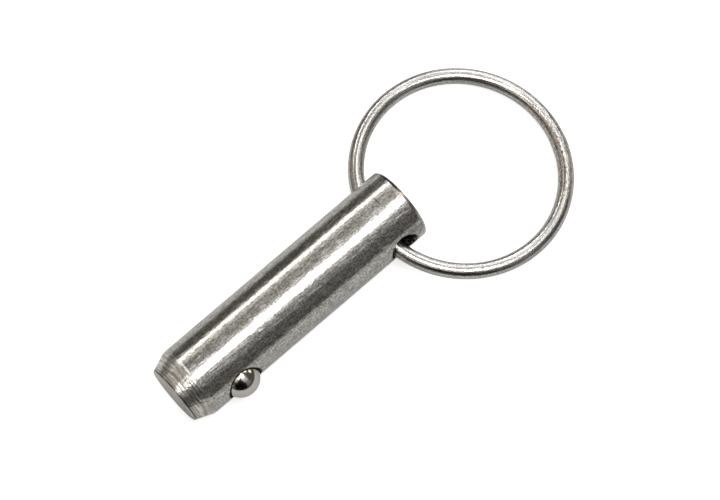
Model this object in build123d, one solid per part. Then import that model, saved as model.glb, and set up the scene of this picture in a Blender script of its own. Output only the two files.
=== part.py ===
from build123d import *
import math
import os

# Detent ring pin, half-inch size, lying on its side as it comes to rest. Units are mm.
# Origin: centre of the flat head end. +X runs along the shank to the tapered tip, +Z is up,
# and the detent ball looks out on the +Y side.

# ---- shank: one turned bar
SHANK_R = 6.35
SHANK_LENGTH = 48.6
HEAD_CHAMFER = 0.5
NOSE_LENGTH = 3.25
NOSE_TAKE = 1.27
SHOULDER_ROUND = 2.5
TIP_EDGE_ROUND = 0.25
# the shank has rolled this far, ball upwards, as far as the ring's wire lets it in its hole
ROLL_DEG = 6.5

# ---- pull ring: one round wire, closed by a butt weld that is dressed flat on its outer side
WIRE_R = 1.31
RING_INNER_R = 15.875
RING_HOLE_X = 4.9
RING_HOLE_PLAY = 1.37
RING_HOLE_BREAK = 0.15
# the wire bears on the tip side of its hole, this far past the hole's axis
WIRE_PAST_AXIS = 1.265
# the ring lies turned in its hole, so its centre is this far over to the ball's side
RING_ASIDE = 2.2
WELD_DEG = 157.0
WELD_LENGTH = 3.4
WELD_SWELL = 0.05
WELD_FLAT = 0.07

# ---- detent: ball, spring and their blind bore, square to the shank
BALL_R = 3.175
BALL_FROM_TIP = 9.8
BALL_STAND = 1.815
BORE_CLEARANCE = 0.075
BORE_BACK_WALL = 1.95
BORE_POINT = 0.5
# the bore's mouth is staked in: a narrow edge just above the ball's middle keeps the ball in
LIP_REACH = 0.05
LIP_CLEARANCE = 0.01
LIP_TAPER = 0.3
LIP_LAND = 0.1
MOUTH_FLARE = 0.03

SPRING_WIRE_R = 0.35
SPRING_BORE_CLEARANCE = 0.35
SPRING_TURNS = 4.0
SPRING_END_CLEARANCE = 0.02

# ---- sizes that follow from those above
TIP_R = SHANK_R - NOSE_TAKE
SHOULDER_X = SHANK_LENGTH - NOSE_LENGTH
BALL_X = SHANK_LENGTH - BALL_FROM_TIP
BALL_OUT = SHANK_R + BALL_STAND - BALL_R
BORE_R = BALL_R + BORE_CLEARANCE
BORE_FLOOR = BORE_BACK_WALL - SHANK_R
LIP_R = BALL_R - LIP_REACH
LIP_START = BALL_OUT + math.sqrt(BALL_R**2 - (LIP_R - LIP_CLEARANCE) ** 2)
SPRING_R = BORE_R - SPRING_BORE_CLEARANCE - SPRING_WIRE_R
RING_R = RING_INNER_R + WIRE_R
RING_HOLE_R = WIRE_R + RING_HOLE_PLAY
RING_OUT = RING_R - WIRE_PAST_AXIS
# the ring dips from its hole until the far side of its wire meets the surface under the shank
RING_DIP_DEG = math.degrees(math.asin((SHANK_R - WIRE_R) / (RING_OUT + RING_R)))


def turned_bar():
    """The bar's outline turned about X: chamfered head, straight shank, tapered nose with a flat end."""
    outline = Polyline(
        (0, 0),
        (0, SHANK_R - HEAD_CHAMFER),
        (HEAD_CHAMFER, SHANK_R),
        (SHOULDER_X, SHANK_R),
        (SHANK_LENGTH, TIP_R),
        (SHANK_LENGTH, 0),
        (0, 0),
    )
    face = make_face(outline)
    shoulder = face.vertices().sort_by_distance((SHOULDER_X, SHANK_R, 0))[0]
    face = fillet(shoulder, SHOULDER_ROUND)
    tip_edge = face.vertices().sort_by_distance((SHANK_LENGTH, TIP_R, 0))[0]
    face = fillet(tip_edge, TIP_EDGE_ROUND)
    return revolve(face, Axis.X)


def ring_hole():
    return Pos(RING_HOLE_X, 0, 0) * Rot(-90, 0, 0) * Cylinder(RING_HOLE_R, 3 * SHANK_R)


def broken_edges(bar):
    """Breaks the sharp edge that the ring's hole leaves at each of its two mouths."""
    mouths = []
    for edge in bar.edges():
        near = abs(edge.center().X - RING_HOLE_X) < RING_HOLE_R / 2
        if near and edge.geom_type not in (GeomType.CIRCLE, GeomType.LINE):
            mouths.append(edge)
    return chamfer(mouths, RING_HOLE_BREAK)


def detent_bore():
    """The ball's blind bore: drilled floor, straight wall, and the mouth staked in to keep the ball."""
    point_r = SPRING_R - 2 * SPRING_WIRE_R
    above = SHANK_R + BALL_R
    outline = Polyline(
        (0, BORE_FLOOR - BORE_POINT),
        (point_r, BORE_FLOOR),
        (BORE_R, BORE_FLOOR),
        (BORE_R, LIP_START - LIP_TAPER),
        (LIP_R, LIP_START),
        (LIP_R, LIP_START + LIP_LAND),
        (BORE_R + MOUTH_FLARE, SHANK_R),
        (BORE_R + MOUTH_FLARE, above),
        (0, above),
        (0, BORE_FLOOR - BORE_POINT),
    )
    tool = revolve(make_face(outline), Axis.Y)
    return Pos(BALL_X, 0, 0) * tool


def rolled(shape):
    """Turns a piece about the shank's axis to the way the shank lies."""
    return Rot(ROLL_DEG, 0, 0) * shape


def shank():
    drilled = broken_edges(turned_bar() - ring_hole())
    return rolled(drilled - detent_bore())


def detent_ball():
    return rolled(Pos(BALL_X, BALL_OUT, 0) * Rot(-90, 0, 0) * Sphere(BALL_R))


def detent_spring():
    """A round-wire compression spring from the bore's floor to the underside of the ball."""
    foot = BORE_FLOOR + SPRING_WIRE_R + SPRING_END_CLEARANCE
    reach = BALL_R + SPRING_WIRE_R + SPRING_END_CLEARANCE
    crown = BALL_OUT - math.sqrt(reach**2 - SPRING_R**2)
    height = crown - foot
    path = Helix(pitch=height / SPRING_TURNS, height=height, radius=SPRING_R)
    section = Plane(origin=path @ 0, z_dir=path % 0) * Circle(SPRING_WIRE_R)
    coil = sweep(section, path=path, is_frenet=True)
    return rolled(Pos(BALL_X, foot, 0) * Rot(-90, 0, 0) * coil)


def weld():
    """The butt weld: a short length of the wire swollen a little, tapering out at both ends."""
    reach = math.degrees(WELD_LENGTH / 2 / RING_R)
    inside = WIRE_R - WELD_SWELL / 2
    swollen = WIRE_R + WELD_SWELL
    sections = []
    for share, radius in ((-1.0, inside), (-0.45, swollen), (0.45, swollen), (1.0, inside)):
        station = Rot(0, 0, WELD_DEG + share * reach) * Pos(RING_R, 0, 0) * Rot(90, 0, 0)
        sections.append(station * Circle(radius))
    return loft(sections)


def weld_dressing():
    """What a file takes off the weld's outer side, leaving a small flat."""
    rim = RING_R + WIRE_R - WELD_FLAT
    block = Box(WIRE_R, 4 * WELD_LENGTH, 4 * WIRE_R)
    return Rot(0, 0, WELD_DEG) * Pos(rim + WIRE_R / 2, 0, 0) * block


def pull_ring():
    hoop = Torus(RING_R, WIRE_R) + weld() - weld_dressing()
    flat = Pos(-RING_OUT, RING_ASIDE, 0) * hoop
    return Pos(RING_HOLE_X, 0, 0) * Rot(0, -RING_DIP_DEG, 0) * flat


def write(shape, node):
    solid = shape.solids()[0]
    export_step(solid, f"parts/{node}.step")


os.makedirs("parts", exist_ok=True)
write(shank(), "shank")
write(detent_ball(), "detent_ball")
write(detent_spring(), "detent_spring")
write(pull_ring(), "pull_ring")
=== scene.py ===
"""Detent ring pin: dressed pieces, their finishes, a pale floor and a soft studio round them."""

import math

import bmesh
import bpy
import numpy as np
from mathutils import Matrix, Vector


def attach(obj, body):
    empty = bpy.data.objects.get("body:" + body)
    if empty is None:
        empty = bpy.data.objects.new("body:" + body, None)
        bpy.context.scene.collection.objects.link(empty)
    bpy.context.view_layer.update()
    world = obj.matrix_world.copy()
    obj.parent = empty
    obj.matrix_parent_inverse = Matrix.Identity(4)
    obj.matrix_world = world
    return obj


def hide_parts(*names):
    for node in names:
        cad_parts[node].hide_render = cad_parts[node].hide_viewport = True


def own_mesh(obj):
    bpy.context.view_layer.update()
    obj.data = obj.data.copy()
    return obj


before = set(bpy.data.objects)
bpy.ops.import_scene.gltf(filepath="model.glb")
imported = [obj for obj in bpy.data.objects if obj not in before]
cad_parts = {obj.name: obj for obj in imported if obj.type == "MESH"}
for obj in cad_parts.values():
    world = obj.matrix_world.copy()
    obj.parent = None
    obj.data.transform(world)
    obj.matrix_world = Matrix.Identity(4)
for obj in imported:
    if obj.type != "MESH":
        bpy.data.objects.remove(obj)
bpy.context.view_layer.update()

# Sizes are in millimetres. X runs along the shank from its head to its tip, Z is up, and the ball
# looks out on the +Y side.
MM = 0.001

# ---- shank, as its solid has it
SHANK_R = 6.35
SHANK_LENGTH = 48.6
NOSE_LENGTH = 3.25
NOSE_TAKE = 1.27
SHOULDER_ROUND = 2.5
TIP_ROUND = 0.25
ROLL = math.radians(6.5)

# ---- shank, as it is dressed: the head's edge worn round, and shallow turned grooves on the nose
HEAD_ROUND = 1.2
HEAD_ROUND_DEG = 62
HEAD_BREAK = 0.03
NOSE_GROOVES = 5.0
NOSE_GROOVE_DEPTH = 0.022
NOSE_GROOVE_DRIFT = 0.12

# ---- pull ring and the hole that it hangs in
WIRE_R = 1.31
RING_INNER_R = 15.875
WIRE_PAST_AXIS = 1.265
RING_ASIDE = 2.2
HOLE_X = 4.9
HOLE_PLAY = 1.37
HOLE_BREAK = 0.15
WELD_AT = math.radians(157)
WELD_LENGTH = 3.4
WELD_SWELL = 0.05
WELD_EASE = 0.55
WELD_FLAT = 0.07

# ---- ball, its staked bore and its spring
BALL_R = 3.175
BALL_FROM_TIP = 9.8
BALL_STAND = 1.815
BORE_CLEARANCE = 0.075
BORE_BACK_WALL = 1.95
BORE_POINT = 0.5
LIP_REACH = 0.05
LIP_CLEARANCE = 0.01
LIP_TAPER = 0.3
LIP_LAND = 0.1
MOUTH_FLARE = 0.03
COIL_WIRE_R = 0.35
COIL_BORE_CLEARANCE = 0.35
COIL_END_CLEARANCE = 0.02
COIL_TURNS = 4.0

# ---- sizes that follow from those above
RING_R = RING_INNER_R + WIRE_R
RING_OUT = RING_R - WIRE_PAST_AXIS
RING_DIP = math.asin((SHANK_R - WIRE_R) / (RING_OUT + RING_R))
HOLE_R = WIRE_R + HOLE_PLAY
BALL_X = SHANK_LENGTH - BALL_FROM_TIP
BALL_OUT = SHANK_R + BALL_STAND - BALL_R
BORE_R = BALL_R + BORE_CLEARANCE
BORE_FLOOR = BORE_BACK_WALL - SHANK_R
LIP_R = BALL_R - LIP_REACH
LIP_START = BALL_OUT + math.sqrt(BALL_R**2 - (LIP_R - LIP_CLEARANCE) ** 2)
COIL_R = BORE_R - COIL_BORE_CLEARANCE - COIL_WIRE_R
COIL_REACH = BALL_R + COIL_WIRE_R + COIL_END_CLEARANCE
COIL_FOOT = BORE_FLOOR + COIL_WIRE_R + COIL_END_CLEARANCE
COIL_CROWN = BALL_OUT - math.sqrt(COIL_REACH**2 - COIL_R**2)

# ---- how finely the surfaces are divided, and how close two points are when they merge, in metres
AROUND = 288
STEP = 2 * math.pi / AROUND
MERGE = 3e-7
# the square of wall about each hole: half its length, half its width in steps, and points on a side
RING_SQUARE = (3.3, 28, 53)
BALL_SQUARE = (3.95, 33, 61)

# ---- colours, as linear red, green and blue
WHITE = (1, 1, 1)
BAR_DARK, BAR_LIGHT = (0.33, 0.325, 0.31), (0.68, 0.67, 0.655)
NICK, HAIRLINE = (0.08, 0.075, 0.07), (0.98, 0.96, 0.94)
TURNED_DARK, TURNED_LIGHT = (0.36, 0.345, 0.32), (0.95, 0.93, 0.9)
SCRATCH = (0.08, 0.07, 0.06)
# the head's rim: a painted dark reflection, with painted brown, blue and straw glints
RIM_REFLECTED_BLACK, RIM_REFLECTED_BROWN = (0.02, 0.022, 0.028), (0.24, 0.18, 0.11)
RIM_REFLECTED_BLUE, RIM_GLINT_STRAW = (0.32, 0.35, 0.41), (0.98, 0.85, 0.66)
# inside the ring's hole: painted shade, near black, mottled with grey
HOLE_PAINTED_SHADE, HOLE_GREY = (0.012, 0.012, 0.012), (0.6, 0.59, 0.57)
# painted shade round the ball in its bore, and a darker band at the edge of the nose's flat end
SHADE_AND_TIP_DARK = (0.03, 0.027, 0.025)
BALL_DARK, BALL_LIGHT = (0.6, 0.58, 0.555), (0.68, 0.655, 0.63)
WIRE_DARK, WIRE_LIGHT = (0.33, 0.325, 0.318), (0.76, 0.752, 0.742)
PIT = (0.1, 0.095, 0.09)
SCORCH_DARK, SCORCH_LIGHT = (0.09, 0.08, 0.07), (0.85, 0.78, 0.7)
COIL_DARK, COIL_LIGHT = (0.3, 0.29, 0.28), (0.45, 0.44, 0.43)
PAPER, CARD, ROOM = (0.62, 0.62, 0.61), (0.004, 0.004, 0.004), (1.0, 0.92, 0.81)

# ---- roughness of the satin steel, on the shank and on the ring alike
SATIN = 0.285

# ---- studio: the floor's reach, how far off the lamps and the card stand in metres, a lamp's watts
# to the square metre at a glow of 1, and how bright the room is and the floor looks
FLOOR_X, FLOOR_Y = (-130, 180), (-48, 160)
LAMP_AWAY, CARD_AWAY = 1.2, 1.3
LAMP_WATTS = 4.0
ROOM_GLOW, FLOOR_GLOW = 0.095, 0.74

# ---- camera: where it looks, how far off it is, its bearing and lean in degrees, and its lens
CAMERA_AIM = (10.512, 1.606, 0.0)
CAMERA_AWAY = 577.406
CAMERA_AZIMUTH, CAMERA_ELEVATION, CAMERA_LEAN = 52.9747, 74.2197, 4.4932
CAMERA_LENS, CAMERA_SENSOR = 179.451, 36.0


# ---------------------------------------------------------------- mesh making
def at(x, y, z):
    """Points from three arrays, each stretched over the same grid."""
    return np.stack(np.broadcast_arrays(x, y, z), -1)


def turns(count, more=0):
    """Angles once round in equal steps, and a few more past the start again."""
    return np.arange(count + more) * (2 * math.pi / count)


def rolled(points):
    """The points turned about the shank's axis by its roll: (y cos - z sin, y sin + z cos)."""
    x, y, z = np.moveaxis(points, -1, 0)
    c, s = math.cos(ROLL), math.sin(ROLL)
    return at(x, y * c - z * s, y * s + z * c)


def round_grid(points):
    """A grid for patchwork, rolled with the shank, whose last column meets its first."""
    return rolled(points), True, False, None


def corners(number):
    """The four corners of each face between the rows and columns of a numbered grid."""
    four = [number[:-1, :-1], number[:-1, 1:], number[1:, 1:], number[1:, :-1]]
    return np.stack(four, -1).reshape(-1, 4)


def linked(name, data):
    """A new object in the scene for a mesh, a lamp or a lens."""
    made = bpy.data.objects.new(name, data)
    bpy.context.scene.collection.objects.link(made)
    return made


def patchwork(name, grids, crease=28):
    """One closed mesh from several grids of points in millimetres.

    Each grid is (points, around, along, lay): rows by columns of points, whether the last column
    meets the first, whether the last row meets the first, and the place of each corner in the
    piece's own lay (or None). Points that meet are merged, faces are turned outwards, and edges
    sharper than the crease angle stay sharp.
    """
    spots, faces, lays, start = [], [], [], 0
    for points, around, along, lay in grids:
        rows, cols = points.shape[:2]
        open_rows, open_cols = rows + int(along), cols + int(around)
        number = np.arange(rows * cols).reshape(rows, cols)
        number = number[np.arange(open_rows) % rows][:, np.arange(open_cols) % cols]
        corner = np.arange(open_rows * open_cols).reshape(open_rows, open_cols)
        flat = np.zeros((open_rows * open_cols, 3)) if lay is None else lay.reshape(-1, 3)
        faces.append(corners(number) + start)
        lays.append(flat[corners(corner).ravel()])
        spots.append(points.reshape(-1, 3))
        start += rows * cols
    spots, faces, lays = np.concatenate(spots), np.concatenate(faces), np.concatenate(lays)
    mesh = bpy.data.meshes.new(name)
    mesh.from_pydata((spots * MM).tolist(), [], faces.tolist())
    own = mesh.attributes.new("lay", "FLOAT_VECTOR", "CORNER")
    own.data.foreach_set("vector", (lays * MM).astype(np.float32).ravel())
    made = bmesh.new()
    made.from_mesh(mesh)
    bmesh.ops.remove_doubles(made, verts=made.verts, dist=MERGE)
    bmesh.ops.recalc_face_normals(made, faces=made.faces)
    made.to_mesh(mesh)
    made.free()
    mesh.shade_smooth()
    mesh.set_sharp_from_angle(angle=math.radians(crease))
    return linked(name, mesh)


# ---------------------------------------------------------------- shank
def wall(x, a, r=SHANK_R):
    """Points of a round wall: (x, r cos a, r sin a) at station x and angle a from +Y."""
    return at(x, r * np.cos(a), r * np.sin(a))


def turned(x, r):
    """A profile (x, r) turned about X: rows follow the profile, columns go round from +Y."""
    x, r = np.asarray(x, float)[:, None], np.asarray(r, float)[:, None]
    return round_grid(wall(x, turns(AROUND), r))


def wall_strip(x0, x1, rows, first, last):
    """The wall between two stations, from one angle step to another."""
    x = np.linspace(x0, x1, rows)[:, None]
    return rolled(wall(x, np.arange(first, last + 1) * STEP)), False, False, None


def square_loop(reach, steps, count):
    """Once round a square of the unrolled wall: station, angle, and bearing from its middle."""
    across = np.linspace(-reach, reach, count)
    up = np.arange(-steps, steps + 1) * STEP
    end, side = np.full(2 * steps, reach), np.full(count - 1, up[-1])
    x = np.concatenate([across[:-1], end, across[:0:-1], -end])
    a = np.concatenate([-side, up[:-1], side, up[:0:-1]])
    return x, a, np.arctan2(a / up[-1], x / reach)


def surface_height(plan_r, bearing):
    """How far out the round wall is: the root of R squared less (plan_r sin bearing) squared."""
    return np.sqrt(SHANK_R**2 - (plan_r * np.sin(bearing)) ** 2)


def square_with_hole(x_mid, square, edge_r, turn=0.0):
    """A square of wall, blended row by row from the hole's edge out to the square's sides.

    Station and angle are (1 - v) of the edge's and v of the side's. v goes from 0 to 1 by a power
    that packs the rows a little towards the hole, and edge_r is the edge's plan radius.
    """
    x, a, bearing = square_loop(*square)
    v = (np.linspace(0, 1, 15) ** 1.25)[:, None]
    at_x = (1 - v) * edge_r * np.cos(bearing) + v * x
    at_a = (1 - v) * np.arcsin(edge_r * np.sin(bearing) / SHANK_R) + v * a
    return round_grid(wall(x_mid + at_x, turn + at_a))


def about_hole(x_mid, plan_r, height, bearing):
    """A grid about an axis along Y through x_mid: (plan_r cos bearing, height, plan_r sin bearing)."""
    return round_grid(at(x_mid + plan_r * np.cos(bearing), height, plan_r * np.sin(bearing)))


def head_grids(meets):
    """The head: a flat face, an arc round its edge, and the wall as far as the station it meets.

    The arc is x = round (1 - cos f), r = face + round sin f, and a small break takes it to the wall.
    """
    face_r = SHANK_R - HEAD_ROUND * math.sin(math.radians(HEAD_ROUND_DEG))
    f = np.radians(np.linspace(0, HEAD_ROUND_DEG, 14))
    x, r = HEAD_ROUND * (1 - np.cos(f)), face_r + HEAD_ROUND * np.sin(f)
    wall_x = x[-1] + HEAD_BREAK
    # the corner where the arc would meet the wall is drawn back, so that the break cuts across it
    x[-1] -= 0.3 * HEAD_BREAK
    r[-1] = SHANK_R - 0.25 * HEAD_BREAK
    face = turned(np.zeros(10), np.linspace(0, face_r, 10))
    edge = turned(np.append(x, wall_x), np.append(r, SHANK_R))
    return [face, edge, turned([wall_x, meets], [SHANK_R, SHANK_R])]


def ring_hole_grids():
    """The wall about the ring's hole, its two mouths with their edges broken, and its bore.

    A broken edge is a quarter circle in s: plan radius R + break (1 - sin s), and the wall's height
    less break (1 - cos s). The bore runs straight from one mouth to the other.
    """
    reach, steps, count = RING_SQUARE
    start, end, half = HOLE_X - reach, HOLE_X + reach, AROUND // 2
    edge_r = HOLE_R + HOLE_BREAK
    grids = [square_with_hole(HOLE_X, RING_SQUARE, edge_r, turn) for turn in (0.0, math.pi)]
    grids.append(wall_strip(start, end, count, steps, half - steps))
    grids.append(wall_strip(start, end, count, half + steps, AROUND - steps))
    bearing = square_loop(*RING_SQUARE)[2]
    s = np.linspace(0, math.pi / 2, 6)[:, None]
    plan_r = HOLE_R + HOLE_BREAK * (1 - np.sin(s))
    height = surface_height(plan_r, bearing) - HOLE_BREAK * (1 - np.cos(s))
    grids.append(about_hole(HOLE_X, plan_r, height, bearing))
    grids.append(about_hole(HOLE_X, plan_r, -height, bearing))
    share = np.linspace(1, -1, 25)[:, None]
    grids.append(about_hole(HOLE_X, HOLE_R, share * height[-1], bearing))
    return grids


def bore_radius(height):
    """The ball bore's radius at a height along its axis: straight wall, staked lip, flared mouth."""
    levels = [BORE_FLOOR, LIP_START - LIP_TAPER, LIP_START, LIP_START + LIP_LAND, SHANK_R]
    return np.interp(height, levels, [BORE_R, BORE_R, LIP_R, LIP_R, BORE_R + MOUTH_FLARE])


def mouth_height(bearing):
    """Where the bore's wall meets the shank's round surface, found by stepping towards it."""
    height = surface_height(BORE_R, bearing)
    for _ in range(60):
        height = 0.5 * height + 0.5 * surface_height(bore_radius(height), bearing)
    return height


def ball_bore_grids():
    """The wall about the ball's bore, the bore, and its floor.

    The bore has a row for each height from its mouth down, close together past the lip, at the
    radius that belongs to that height. The floor is flat with a drilled point, a cone, in its middle.
    """
    reach, steps, count = BALL_SQUARE
    bearing = square_loop(*BALL_SQUARE)[2]
    top = mouth_height(bearing)
    lip = top - np.linspace(0, 1.0, 26)[:, None]
    share = np.linspace(0, 1, 13)[1:, None]
    height = np.concatenate([lip, lip[-1] + (BORE_FLOOR - lip[-1]) * share])
    floor_r = BORE_R * np.linspace(1, 0, 10)[:, None]
    point_r = COIL_R - 2 * COIL_WIRE_R
    floor = BORE_FLOOR - BORE_POINT * np.clip(1 - floor_r / point_r, 0, 1)
    return [
        square_with_hole(BALL_X, BALL_SQUARE, bore_radius(top)),
        wall_strip(BALL_X - reach, BALL_X + reach, count, steps, AROUND - steps),
        about_hole(BALL_X, bore_radius(height), height, bearing),
        about_hole(BALL_X, floor_r, floor, bearing),
    ]


def nose_profile():
    """The nose's outline: shoulder arc, cone with shallow turned grooves, tip arc, flat end.

    Both arcs are a centre and round (sin f, cos f). Each groove is a parabola, 4 g (1 - g) of its
    depth with g from 0 to 1 across it, and a slow sine makes the grooves a little unequal.
    """
    lean = math.atan2(NOSE_TAKE, NOSE_LENGTH)
    start = SHANK_LENGTH - NOSE_LENGTH - SHOULDER_ROUND * math.tan(lean / 2)
    f = np.linspace(0, lean, 12)
    x1, r1 = start + SHOULDER_ROUND * np.sin(f), SHANK_R - SHOULDER_ROUND * (1 - np.cos(f))
    f = np.linspace(lean, math.pi / 2, 10)
    tip_r = SHANK_R - NOSE_TAKE - TIP_ROUND * math.tan((math.pi / 2 - lean) / 2)
    x3, r3 = SHANK_LENGTH - TIP_ROUND + TIP_ROUND * np.sin(f), tip_r + TIP_ROUND * np.cos(f)
    x2 = np.linspace(x1[-1], x3[0], 74)[1:-1]
    share = (x2 - x1[-1]) / (x3[0] - x1[-1])
    groove = (share * NOSE_GROOVES + NOSE_GROOVE_DRIFT * np.sin(7 * share)) % 1.0
    r2 = r1[-1] + share * (r3[0] - r1[-1]) - NOSE_GROOVE_DEPTH * 4 * groove * (1 - groove)
    r4 = np.linspace(r3[-1], 0, 12)[1:]
    x4 = np.full_like(r4, SHANK_LENGTH)
    return np.concatenate([x1, x2, x3, x4]), np.concatenate([r1, r2, r3, r4])


def build_shank():
    """The turned bar from head to tip: head, ring's hole, wall, ball's bore, wall and nose."""
    nose_x, nose_r = nose_profile()
    ring_reach, ball_reach = RING_SQUARE[0], BALL_SQUARE[0]
    grids = head_grids(HOLE_X - ring_reach) + ring_hole_grids()
    grids.append(turned(np.linspace(HOLE_X + ring_reach, BALL_X - ball_reach, 28), [SHANK_R] * 28))
    grids += ball_bore_grids()
    grids.append(turned(np.linspace(BALL_X + ball_reach, nose_x[0], 4), [SHANK_R] * 4))
    grids.append(turned(nose_x, nose_r))
    return patchwork("shank_body", grids)


# ---------------------------------------------------------------- ball, ring and spring
def build_ball():
    """A ball about the bore's axis, closed at both poles.

    With u up from its middle and w round, a point is (R cos u cos w, R sin u, R cos u sin w).
    """
    u = np.linspace(-math.pi / 2, math.pi / 2, 65)[:, None]
    w = turns(128)
    r = BALL_R * np.cos(u)
    points = at(BALL_X + r * np.cos(w), BALL_OUT + BALL_R * np.sin(u), r * np.sin(w))
    return patchwork("ball", [round_grid(points)], crease=60)


def ring_place(points):
    """From the ring's own flat frame to where it lies: out and aside, dipped, through its hole."""
    x, y, z = np.moveaxis(points, -1, 0)
    x, y = x - RING_OUT, y + RING_ASIDE
    c, s = math.cos(RING_DIP), math.sin(RING_DIP)
    return at(HOLE_X + x * c - z * s, y, x * s + z * c)


def build_ring():
    """Round wire carried round a circle; it swells at the weld, whose outer side is filed flat.

    With w round the ring and v round the wire, a point is R + r cos v out and r sin v up. The wire's
    radius r eases up and down over the weld, and nothing stands out past the flat. The lay that the
    finish follows is the same wire laid straight.
    """
    w, v = turns(900)[:, None], turns(44)
    away = np.abs(w - WELD_AT) * RING_R / (WELD_LENGTH / 2)
    rise = np.clip((1.0 - away) / WELD_EASE, 0, 1)
    wire = WIRE_R + rise * rise * (3 - 2 * rise) * WELD_SWELL
    out = RING_R + wire * np.cos(v)
    forth, side = out * np.cos(w - WELD_AT), out * np.sin(w - WELD_AT)
    forth = np.minimum(forth, RING_R + WIRE_R - WELD_FLAT)
    c, s = math.cos(WELD_AT), math.sin(WELD_AT)
    points = ring_place(at(forth * c - side * s, forth * s + side * c, wire * np.sin(v)))
    w, v = turns(900, 1)[:, None], turns(44, 1)
    lay = at(w * RING_R, WIRE_R * np.cos(v), WIRE_R * np.sin(v))
    return patchwork("ring_wire", [(points, True, True, lay)], crease=50)


def build_spring():
    """Round wire carried along a helix about the bore's axis, its two cut ends closed.

    With t along the wire and v round it, a point is R + r cos v out, and r sin v above its turn's
    height. The wire's radius r falls to nothing as a quarter circle at each end of t.
    """
    t, v = np.linspace(0, 1, 300)[:, None], turns(14)
    turn = t * COIL_TURNS * 2 * math.pi
    ends = np.minimum(1, np.minimum(t, 1 - t) / 0.004)
    wire = COIL_WIRE_R * np.sqrt(np.clip(1 - (1 - ends) ** 2, 0, 1))
    out = COIL_R + wire * np.cos(v)
    rise = COIL_FOOT + t * (COIL_CROWN - COIL_FOOT) + wire * np.sin(v)
    points = at(BALL_X + out * np.cos(turn), rise, -out * np.sin(turn))
    return patchwork("spring_coil", [round_grid(points)], crease=60)


# ---------------------------------------------------------------- finishes
class Nodes:
    """A node tree being put together."""

    def __init__(self, tree):
        self.tree = tree

    def link(self, value, socket):
        """Links another node's output to the socket, or writes a number, direction or colour on it."""
        if isinstance(value, bpy.types.NodeSocket):
            self.tree.links.new(value, socket)
        elif socket.type == "RGBA":
            socket.default_value = (*value, 1)
        else:
            socket.default_value = value

    def node(self, kind, inputs=None, **settings):
        """A new node with its settings, and its inputs linked or written."""
        made = self.tree.nodes.new(kind)
        for key, value in settings.items():
            setattr(made, key, value)
        for key, value in (inputs or {}).items():
            self.link(value, made.inputs[key])
        return made

    def maths(self, how, a, b):
        """One sum on two numbers: ADD, SUBTRACT, MULTIPLY or MAXIMUM."""
        return self.node("ShaderNodeMath", {0: a, 1: b}, operation=how).outputs[0]

    def times(self, a, b):
        return self.maths("MULTIPLY", a, b)

    def total(self, *shares):
        """The sum of some values, each times its weight."""
        parts = [self.times(value, weight) for value, weight in shares]
        whole = parts[0]
        for part in parts[1:]:
            whole = self.maths("ADD", whole, part)
        return whole

    def mix(self, share, a, b):
        """The first colour where the share is 0, the second where it is 1."""
        return self.node("ShaderNodeMix", {0: share, 6: a, 7: b}, data_type="RGBA").outputs[2]

    def ramp(self, value, low, high, out_low=0.0, out_high=1.0):
        """From out_low at low to out_high at high, and level beyond them."""
        ends = {"From Min": low, "From Max": high, "To Min": out_low, "To Max": out_high}
        return self.node("ShaderNodeMapRange", {"Value": value, **ends}).outputs["Result"]


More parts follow.
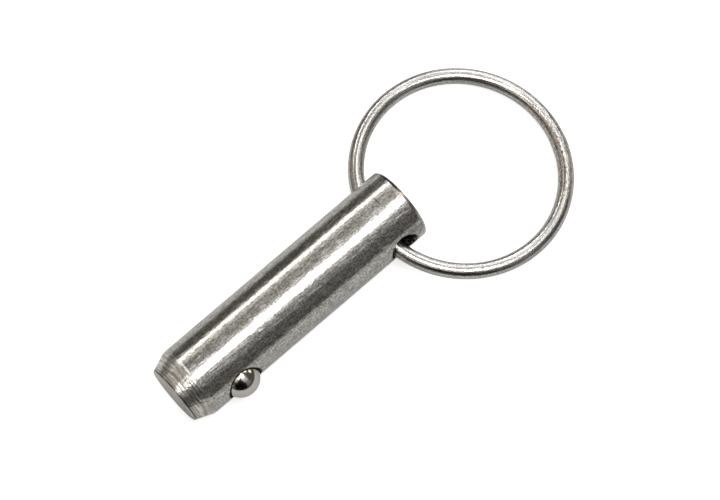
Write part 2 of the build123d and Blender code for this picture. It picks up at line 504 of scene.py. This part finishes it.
class Finish(Nodes):
    """A node material being put together for one finish."""

    def __init__(self, name):
        self.material = bpy.data.materials.new(name)
        self.material.use_nodes = True
        super().__init__(self.material.node_tree)
        self.shader = self.tree.nodes["Principled BSDF"]

    def give(self, socket, value):
        """Links or writes one of the shader's own sockets."""
        self.link(value, self.shader.inputs[socket])

    def wear(self, piece, slot):
        """Puts the finish on a piece; its slot is not used."""
        piece.data.materials.append(self.material)

    def place(self):
        """The point's place on the object, in metres."""
        return self.node("ShaderNodeTexCoord").outputs["Object"]

    def lay(self):
        """The point's place in the piece's own lay: along the wire laid straight, and across it."""
        return self.node("ShaderNodeAttribute", attribute_name="lay").outputs["Vector"]

    def parts(self, vector):
        return self.node("ShaderNodeSeparateXYZ", {0: vector}).outputs

    def join(self, x, y, z):
        return self.node("ShaderNodeCombineXYZ", {0: x, 1: y, 2: z}).outputs[0]

    def length(self, vector):
        return self.node("ShaderNodeVectorMath", {0: vector}, operation="LENGTH").outputs["Value"]

    def stretched(self, vector, scale, turn=(0, 0, 0), shift=(0, 0, 0)):
        """The vector scaled along each axis, then turned, then moved."""
        inputs = {"Vector": vector, "Scale": scale, "Rotation": turn, "Location": shift}
        return self.node("ShaderNodeMapping", inputs).outputs[0]

    def pattern(self, vector, scale, detail=0, rough=0.5, turn=(0, 0, 0), shift=(0, 0, 0)):
        """Noise with so many grains to the metre along each axis."""
        spot = self.stretched(vector, scale, turn, shift)
        inputs = {"Vector": spot, "Scale": 1.0, "Detail": detail, "Roughness": rough}
        return self.node("ShaderNodeTexNoise", inputs).outputs["Fac"]

    def reach(self, value, none, full):
        """0 where a coordinate is at none, and 1 where it is at full, both in millimetres."""
        return self.ramp(value, none * MM, full * MM)

    def band(self, value, start, full, fade, end):
        """1 between full and fade, and 0 before the start and past the end, all in millimetres."""
        return self.times(self.reach(value, start, full), self.reach(value, end, fade))

    def within(self, place, x_mid, radius, floor=-2 * SHANK_R):
        """1 inside a hole of the rolled shank, down to its floor, and 0 outside, in millimetres."""
        unrolled = self.stretched(place, (1, 1, 1), turn=(-ROLL, 0, 0))
        away = self.length(self.stretched(unrolled, (1000, 0, 1000), shift=(-x_mid, 0, 0)))
        above = self.reach(self.parts(unrolled)[1], floor - 0.2, floor)
        return self.times(self.ramp(away, radius + 0.04, radius), above)

    def relief(self, height, depth):
        """Bump for a height, with the depth in millimetres that a height of 1 has."""
        inputs = {"Height": height, "Distance": depth * MM, "Strength": 1.0}
        self.give("Normal", self.node("ShaderNodeBump", inputs).outputs["Normal"])

    def stroked(self, vector, axis, turn=0.0, amount=0.9):
        """Gloss that spreads one way and stays crisp the other: round the axis, or turned from there."""
        inputs = {0: axis, 1: vector}
        way = self.node("ShaderNodeVectorMath", inputs, operation="CROSS_PRODUCT").outputs[0]
        kind = {"vector_type": "VECTOR", "convert_from": "OBJECT", "convert_to": "WORLD"}
        tangent = self.node("ShaderNodeVectorTransform", {"Vector": way}, **kind).outputs[0]
        self.give("Tangent", tangent)
        self.give("Anisotropic", amount)
        self.give("Anisotropic Rotation", turn)


def bar_grain(f, place):
    """The drawn bar's colour and height: grain and dashes in two greys, dark nicks, bright hairlines."""
    grain = f.pattern(place, (3900, 5000, 5000))
    dash = f.pattern(place, (1000, 5600, 5600), turn=(0, 0.04, 0.07), shift=(3, 1, 2))
    hoop = f.pattern(place, (5200, 900, 900), shift=(6, 6, 1))
    tint = f.pattern(place, (3700, 4400, 4400), shift=(5, 2, 9))
    nicks = f.ramp(f.pattern(place, (1900, 4600, 4600), 1, shift=(1, 8, 5)), 0.68, 0.72)
    hairs = f.pattern(place, (620, 5200, 5200), 1, turn=(0, 0.1, 0.06), shift=(2, 6, 3))
    hairs = f.ramp(hairs, 0.635, 0.67)
    mixed = f.total((tint, 0.6), (dash, 0.25), (hoop, 0.15))
    colour = f.mix(f.ramp(mixed, 0.42, 0.58), BAR_DARK, BAR_LIGHT)
    colour = f.mix(f.times(nicks, 0.7), colour, NICK)
    colour = f.mix(f.times(hairs, 0.6), colour, HAIRLINE)
    return colour, f.total((grain, 1.0), (dash, 0.5), (hairs, -0.5))


def turned_nose(f, place, radius):
    """Where the nose is turned, its colour and its height: rings of feed lines, and some chatter.

    The feed lines follow x less the radius, so that they are rings on the cone and on the flat end,
    where they are weaker.
    """
    x, y, z = f.parts(place)
    cone = f.reach(x, SHANK_LENGTH - 3.8, SHANK_LENGTH - 3.4)
    end = f.ramp(x, (SHANK_LENGTH - 0.01) * MM, (SHANK_LENGTH - 0.05) * MM, 0.35, 1.0)
    turning = f.join(f.maths("SUBTRACT", x, radius), y, z)
    feed = f.pattern(turning, (1950, 250, 250), 2, 0.7, shift=(4, 4, 4))
    chatter = f.pattern(place, (900, 1500, 1500), 2, 0.6, shift=(8, 1, 7))
    colour = f.mix(f.ramp(feed, 0.42, 0.57), TURNED_DARK, TURNED_LIGHT)
    return f.times(cone, end), colour, f.total((feed, 14.0), (chatter, 9.0))


def scratched(f, place):
    """Where one slanting scratch crosses the upper side near the head."""
    x, y, z = f.parts(place)
    slant = f.total((x, 1.0), (y, 0.05))
    scratch = f.times(f.band(slant, 4.02, 4.07, 4.21, 4.26), f.band(y, -2.2, -1.9, -0.7, -0.4))
    return f.times(scratch, f.reach(z, 0.0, 1.0))


def painted_rim_reflection(f, place, radius):
    """Where the head's edge is painted with a dark reflection and glints, on its upper side only, and
    the painted colours.
    """
    x, y, z = f.parts(place)
    # painted reflection: dark, broken by painted brown and blue glints and one straw glint spot, on the
    # upper side only
    glint = f.pattern(place, (300, 420, 420), 1, shift=(9, 2, 6))
    colour = f.mix(f.ramp(glint, 0.42, 0.5), RIM_REFLECTED_BLACK, RIM_REFLECTED_BROWN)
    colour = f.mix(f.ramp(glint, 0.55, 0.6), colour, RIM_REFLECTED_BLUE)
    glint_spot = f.band(y, -0.1, 0.3, 0.8, 1.2)
    colour = f.mix(f.times(glint_spot, 0.8), colour, RIM_GLINT_STRAW)
    edge = f.times(f.reach(x, 0.7, 0.6), f.reach(radius, 5.2, 5.4))
    side = f.times(f.reach(y, 4.4, 2.6), f.reach(z, -1.0, 1.0))
    return f.times(edge, side), colour


def bore_shade_and_tip_band(f, place):
    """Where the colour is darkened: painted shade round the ball in its bore, and a darker band about
    the edge of the nose's flat end.
    """
    # a darker band about the edge of the nose's flat end
    edge = [SHANK_LENGTH - back for back in (0.34, 0.26, 0.12, 0.06)]
    rim = f.band(f.parts(place)[0], *edge)
    # painted shade in the gap round the ball, where it sits in its bore
    bore = f.within(place, BALL_X, BORE_R + 0.12, BORE_FLOOR - 1.0)
    return f.maths("MAXIMUM", bore, f.times(rim, 0.8))


def drawn_steel():
    """Satin bar steel: its grain, then turned nose, scratch, the head rim's painted reflection and
    glints, the hole's painted shade, and painted shade round the ball with a darker band at the tip's
    edge.
    """
    f = Finish("drawn_steel")
    place = f.place()
    _, y, z = f.parts(place)
    radius = f.length(f.join(0.0, y, z))
    colour, height = bar_grain(f, place)
    nose, cut, tooling = turned_nose(f, place, radius)
    colour = f.mix(f.times(nose, 0.7), colour, cut)
    colour = f.mix(f.times(scratched(f, place), 0.8), colour, SCRATCH)
    # the head's rim gets a painted dark reflection with painted glints
    rim, rim_reflection = painted_rim_reflection(f, place, radius)
    colour = f.mix(rim, colour, rim_reflection)
    # painted shade inside the ring's hole: near-black blotches with grey between them, over a rougher
    # wall
    hole = f.within(place, HOLE_X, HOLE_R)
    scale = f.ramp(f.pattern(place, (2600, 2200, 2600), 1, shift=(3, 3, 3)), 0.46, 0.62)
    colour = f.mix(hole, colour, f.mix(scale, HOLE_PAINTED_SHADE, HOLE_GREY))
    # painted shade round the ball, and the darker band at the tip's edge
    f.give("Base Color", f.mix(bore_shade_and_tip_band(f, place), colour, SHADE_AND_TIP_DARK))
    f.give("Metallic", 1.0)
    f.give("Roughness", f.maths("ADD", f.total((hole, 0.27), (nose, 0.03)), SATIN))
    f.stroked(place, (1, 0, 0), turn=0.25)
    f.relief(f.maths("ADD", height, f.times(tooling, nose)), 0.01)
    return f


def polished_ball():
    """Polished ball steel with a faint haze."""
    f = Finish("polished_ball")
    haze = f.pattern(f.place(), (900, 900, 900), 3)
    f.give("Base Color", f.mix(haze, BALL_DARK, BALL_LIGHT))
    f.give("Metallic", 1.0)
    f.give("Roughness", f.ramp(haze, 0.3, 0.7, 0.12, 0.16))
    f.relief(haze, 0.001)
    return f


def bright_wire():
    """Bright drawn wire: die lines along it, specks and pits, and a rough scale about the weld."""
    f = Finish("bright_wire")
    lay = f.lay()
    lines = f.pattern(lay, (110, 6000, 6000), 1)
    specks = f.pattern(lay, (4500, 7000, 7000), shift=(2, 1, 4))
    pits = f.ramp(f.pattern(lay, (1900, 4600, 4600), 1, shift=(6, 3, 8)), 0.64, 0.69)
    scale = f.pattern(lay, (2100, 3000, 3000), 1, shift=(1, 9, 2))
    weld = WELD_AT * RING_R
    near = f.band(f.parts(lay)[0], weld - 15, weld - 6, weld + 6, weld + 13)
    mixed = f.total((lines, 0.6), (specks, 0.4))
    colour = f.mix(f.ramp(mixed, 0.42, 0.58), WIRE_DARK, WIRE_LIGHT)
    scorched = f.mix(f.ramp(scale, 0.42, 0.56), SCORCH_DARK, SCORCH_LIGHT)
    colour = f.mix(f.times(near, 0.35), colour, scorched)
    f.give("Base Color", f.mix(f.times(pits, 0.6), colour, PIT))
    f.give("Metallic", 1.0)
    f.give("Roughness", SATIN)
    inputs = {0: f.place(), 1: (ring_place(np.zeros(3)) * MM).tolist()}
    spoke = f.node("ShaderNodeVectorMath", inputs, operation="SUBTRACT").outputs[0]
    f.stroked(spoke, (-math.sin(RING_DIP), 0, math.cos(RING_DIP)), amount=0.85)
    f.relief(f.total((lines, 2.0), (specks, 1.6), (f.times(scale, near), 4.0)), 0.01)
    return f


def spring_steel():
    """Dull spring wire with an uneven tone."""
    f = Finish("spring_steel")
    tone = f.pattern(f.place(), (1500, 1500, 1500), 3)
    f.give("Base Color", f.mix(tone, COIL_DARK, COIL_LIGHT))
    f.give("Metallic", 1.0)
    f.give("Roughness", f.ramp(tone, 0.3, 0.7, 0.3, 0.45))
    f.relief(tone, 0.004)
    return f


# ---------------------------------------------------------------- the pieces
shank_body = build_shank()
drawn_steel().wear(shank_body, "ground_steel")
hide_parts("shank")
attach(shank_body, "pin")

ball = build_ball()
polished_ball().wear(ball, "ball_steel")
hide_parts("detent_ball")
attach(ball, "ball")

ring_wire = build_ring()
bright_wire().wear(ring_wire, "ring_wire")
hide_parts("pull_ring")
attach(ring_wire, "ring")

spring_coil = build_spring()
spring_steel().wear(spring_coil, "spring_wire")
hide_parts("detent_spring")
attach(spring_coil, "pin")
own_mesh(spring_coil)


# ---------------------------------------------------------------- floor and studio
def towards(azimuth, elevation):
    """The unit direction at that azimuth from +X and elevation, in degrees."""
    a, e = math.radians(azimuth), math.radians(elevation)
    return Vector((math.cos(a) * math.cos(e), math.sin(a) * math.cos(e), math.sin(e)))


def floor_paper():
    """Pale paper that lights and mirrors as pale grey, and looks white to the camera."""
    material = bpy.data.materials.new("floor_paper")
    material.use_nodes = True
    material.node_tree.nodes.clear()
    f = Nodes(material.node_tree)
    seen = f.node("ShaderNodeLightPath").outputs["Is Camera Ray"]
    paper = f.node("ShaderNodeBsdfDiffuse", {"Color": PAPER}).outputs[0]
    glow = {"Color": WHITE, "Strength": f.times(seen, FLOOR_GLOW)}
    white = f.node("ShaderNodeEmission", glow).outputs[0]
    both = f.node("ShaderNodeAddShader", {0: paper, 1: white}).outputs[0]
    f.node("ShaderNodeOutputMaterial", {"Surface": both})
    return material


def build_floor():
    """A flat sheet, three points by three, that the shank and the ring lie on."""
    x, y = np.meshgrid(np.linspace(*FLOOR_X, 3), np.linspace(*FLOOR_Y, 3), indexing="ij")
    spots = (at(x, y, -SHANK_R) * MM).reshape(-1, 3)
    faces = corners(np.arange(9).reshape(3, 3))[:, ::-1]
    mesh = bpy.data.meshes.new("studio_floor")
    mesh.from_pydata(spots.tolist(), [], faces.tolist())
    mesh.materials.append(floor_paper())
    floor = linked("studio_floor", mesh)


def black_card(azimuth, elevation, wide, tall):
    """A black card beyond the lamps on one side, so that bright steel has something dark to mirror.

    Wide and tall are its angles as the pin sees it, in degrees.
    """
    way = towards(azimuth, elevation)
    side = Vector((0, 0, 1)).cross(way).normalized()
    up = way.cross(side)
    w, h = (math.tan(math.radians(angle) / 2) for angle in (wide, tall))
    signs = ((-1, -1), (1, -1), (1, 1), (-1, 1))
    spots = [(way + side * (a * w) + up * (b * h)) * CARD_AWAY for a, b in signs]
    mesh = bpy.data.meshes.new("black_card")
    mesh.from_pydata([tuple(spot) for spot in spots], [], [(0, 1, 2, 3)])
    black = Finish("card_black")
    black.give("Base Color", CARD)
    black.give("Specular IOR Level", 0.0)
    mesh.materials.append(black.material)
    card = linked("black_card", mesh)
    card.visible_camera = False


def softbox(name, azimuth, elevation, wide, tall, glow, tint, shape="ELLIPSE"):
    """A flat lamp facing the pin; wide and tall are its angles as the pin sees it, in degrees."""
    w, h = (2 * LAMP_AWAY * math.tan(math.radians(angle) / 2) for angle in (wide, tall))
    fill = math.pi / 4 if shape == "ELLIPSE" else 1.0
    light = bpy.data.lights.new(name, "AREA")
    light.shape = shape
    light.size, light.size_y = w, h
    light.color = tint
    light.energy = LAMP_WATTS * glow * w * h * fill
    way = towards(azimuth, elevation)
    lamp = linked(name, light)
    lamp.location = Vector((0.01, 0.0, 0.0)) + way * LAMP_AWAY
    lamp.rotation_euler = way.to_track_quat("Z", "Y").to_euler()
    lamp.visible_camera = False


def studio_world():
    """Dim warm grey all round for the light, and plain white where the camera looks past the floor."""
    world = bpy.data.worlds.new("studio_world")
    bpy.context.scene.world = world
    world.use_nodes = True
    world.node_tree.nodes.clear()
    f = Nodes(world.node_tree)
    seen = f.node("ShaderNodeLightPath").outputs["Is Camera Ray"]
    inputs = {"Color": f.mix(seen, ROOM, WHITE), "Strength": f.ramp(seen, 0.0, 1.0, ROOM_GLOW, 1.0)}
    back = f.node("ShaderNodeBackground", inputs).outputs[0]
    f.node("ShaderNodeOutputWorld", {"Surface": back})


build_floor()
black_card(54, 29, 62, 66)
studio_world()
softbox("softbox_overhead", 114, 79.5, 19, 17, 15.0, (0.97, 0.985, 1.0))
softbox("softbox_beside", 205, 78, 14, 12, 1.6, (1.0, 0.95, 0.88))
softbox("softbox_second", 20, 70.5, 15, 18, 2.2, (1.0, 0.91, 0.78))
softbox("softbox_back", 214, 27, 60, 34, 2.0, (0.96, 0.985, 1.0))
softbox("lamp_left_warm", 168, 26, 16, 16, 1.5, (1.0, 0.87, 0.7))
softbox("lamp_behind", 259, 31.5, 9, 7, 14.0, (1.0, 0.96, 0.88), shape="RECTANGLE")
softbox("lamp_tip_warm", 320, 45, 18, 12, 1.1, (1.0, 0.86, 0.68))
softbox("lamp_behind_warm", 278, 45, 12, 12, 2.0, (1.0, 0.89, 0.75))
softbox("softbox_rim", 103, 65, 34, 12, 0.75, (1.0, 0.98, 0.95))
softbox("softbox_fade", 101, 51, 32, 22, 0.36, (1.0, 0.98, 0.95))
softbox("softbox_back_top", 200, 54, 36, 19, 1.4, (1.0, 0.945, 0.86))
softbox("strip_front", 103, 31, 28, 34, 0.11, (1.0, 0.97, 0.95), shape="RECTANGLE")
softbox("panel_tip_low", 352, 10, 34, 22, 0.44, (1.0, 0.97, 0.94), shape="RECTANGLE")
softbox("panel_tip_high", 2, 53, 30, 20, 0.45, (1.0, 0.9, 0.78), shape="RECTANGLE")
softbox("panel_tip_white", 348, 58, 16, 9, 1.3, (1.0, 0.97, 0.93))
softbox("panel_behind_brown", 305, 28, 44, 40, 0.18, (1.0, 0.9, 0.8), shape="RECTANGLE")


# ---------------------------------------------------------------- camera
def build_camera():
    """A long lens high over the ball's side, aimed beside the middle of the shank."""
    back = towards(CAMERA_AZIMUTH, CAMERA_ELEVATION)
    level = (Vector((0, 0, 1)) - back * back.z).normalized()
    side = (-back).cross(level)
    lean = math.radians(CAMERA_LEAN)
    up = level * math.cos(lean) + side * math.sin(lean)
    right = (-back).cross(up)
    lens = bpy.data.cameras.new("camera")
    lens.lens, lens.sensor_width = CAMERA_LENS, CAMERA_SENSOR
    lens.clip_start, lens.clip_end = 0.01, 20.0
    camera = linked("camera", lens)
    place = Matrix((right, up, back)).transposed().to_4x4()
    place.translation = (Vector(CAMERA_AIM) + back * CAMERA_AWAY) * MM
    camera.matrix_world = place
    bpy.context.scene.camera = camera


build_camera()
bpy.context.scene.view_settings.view_transform = "Standard"
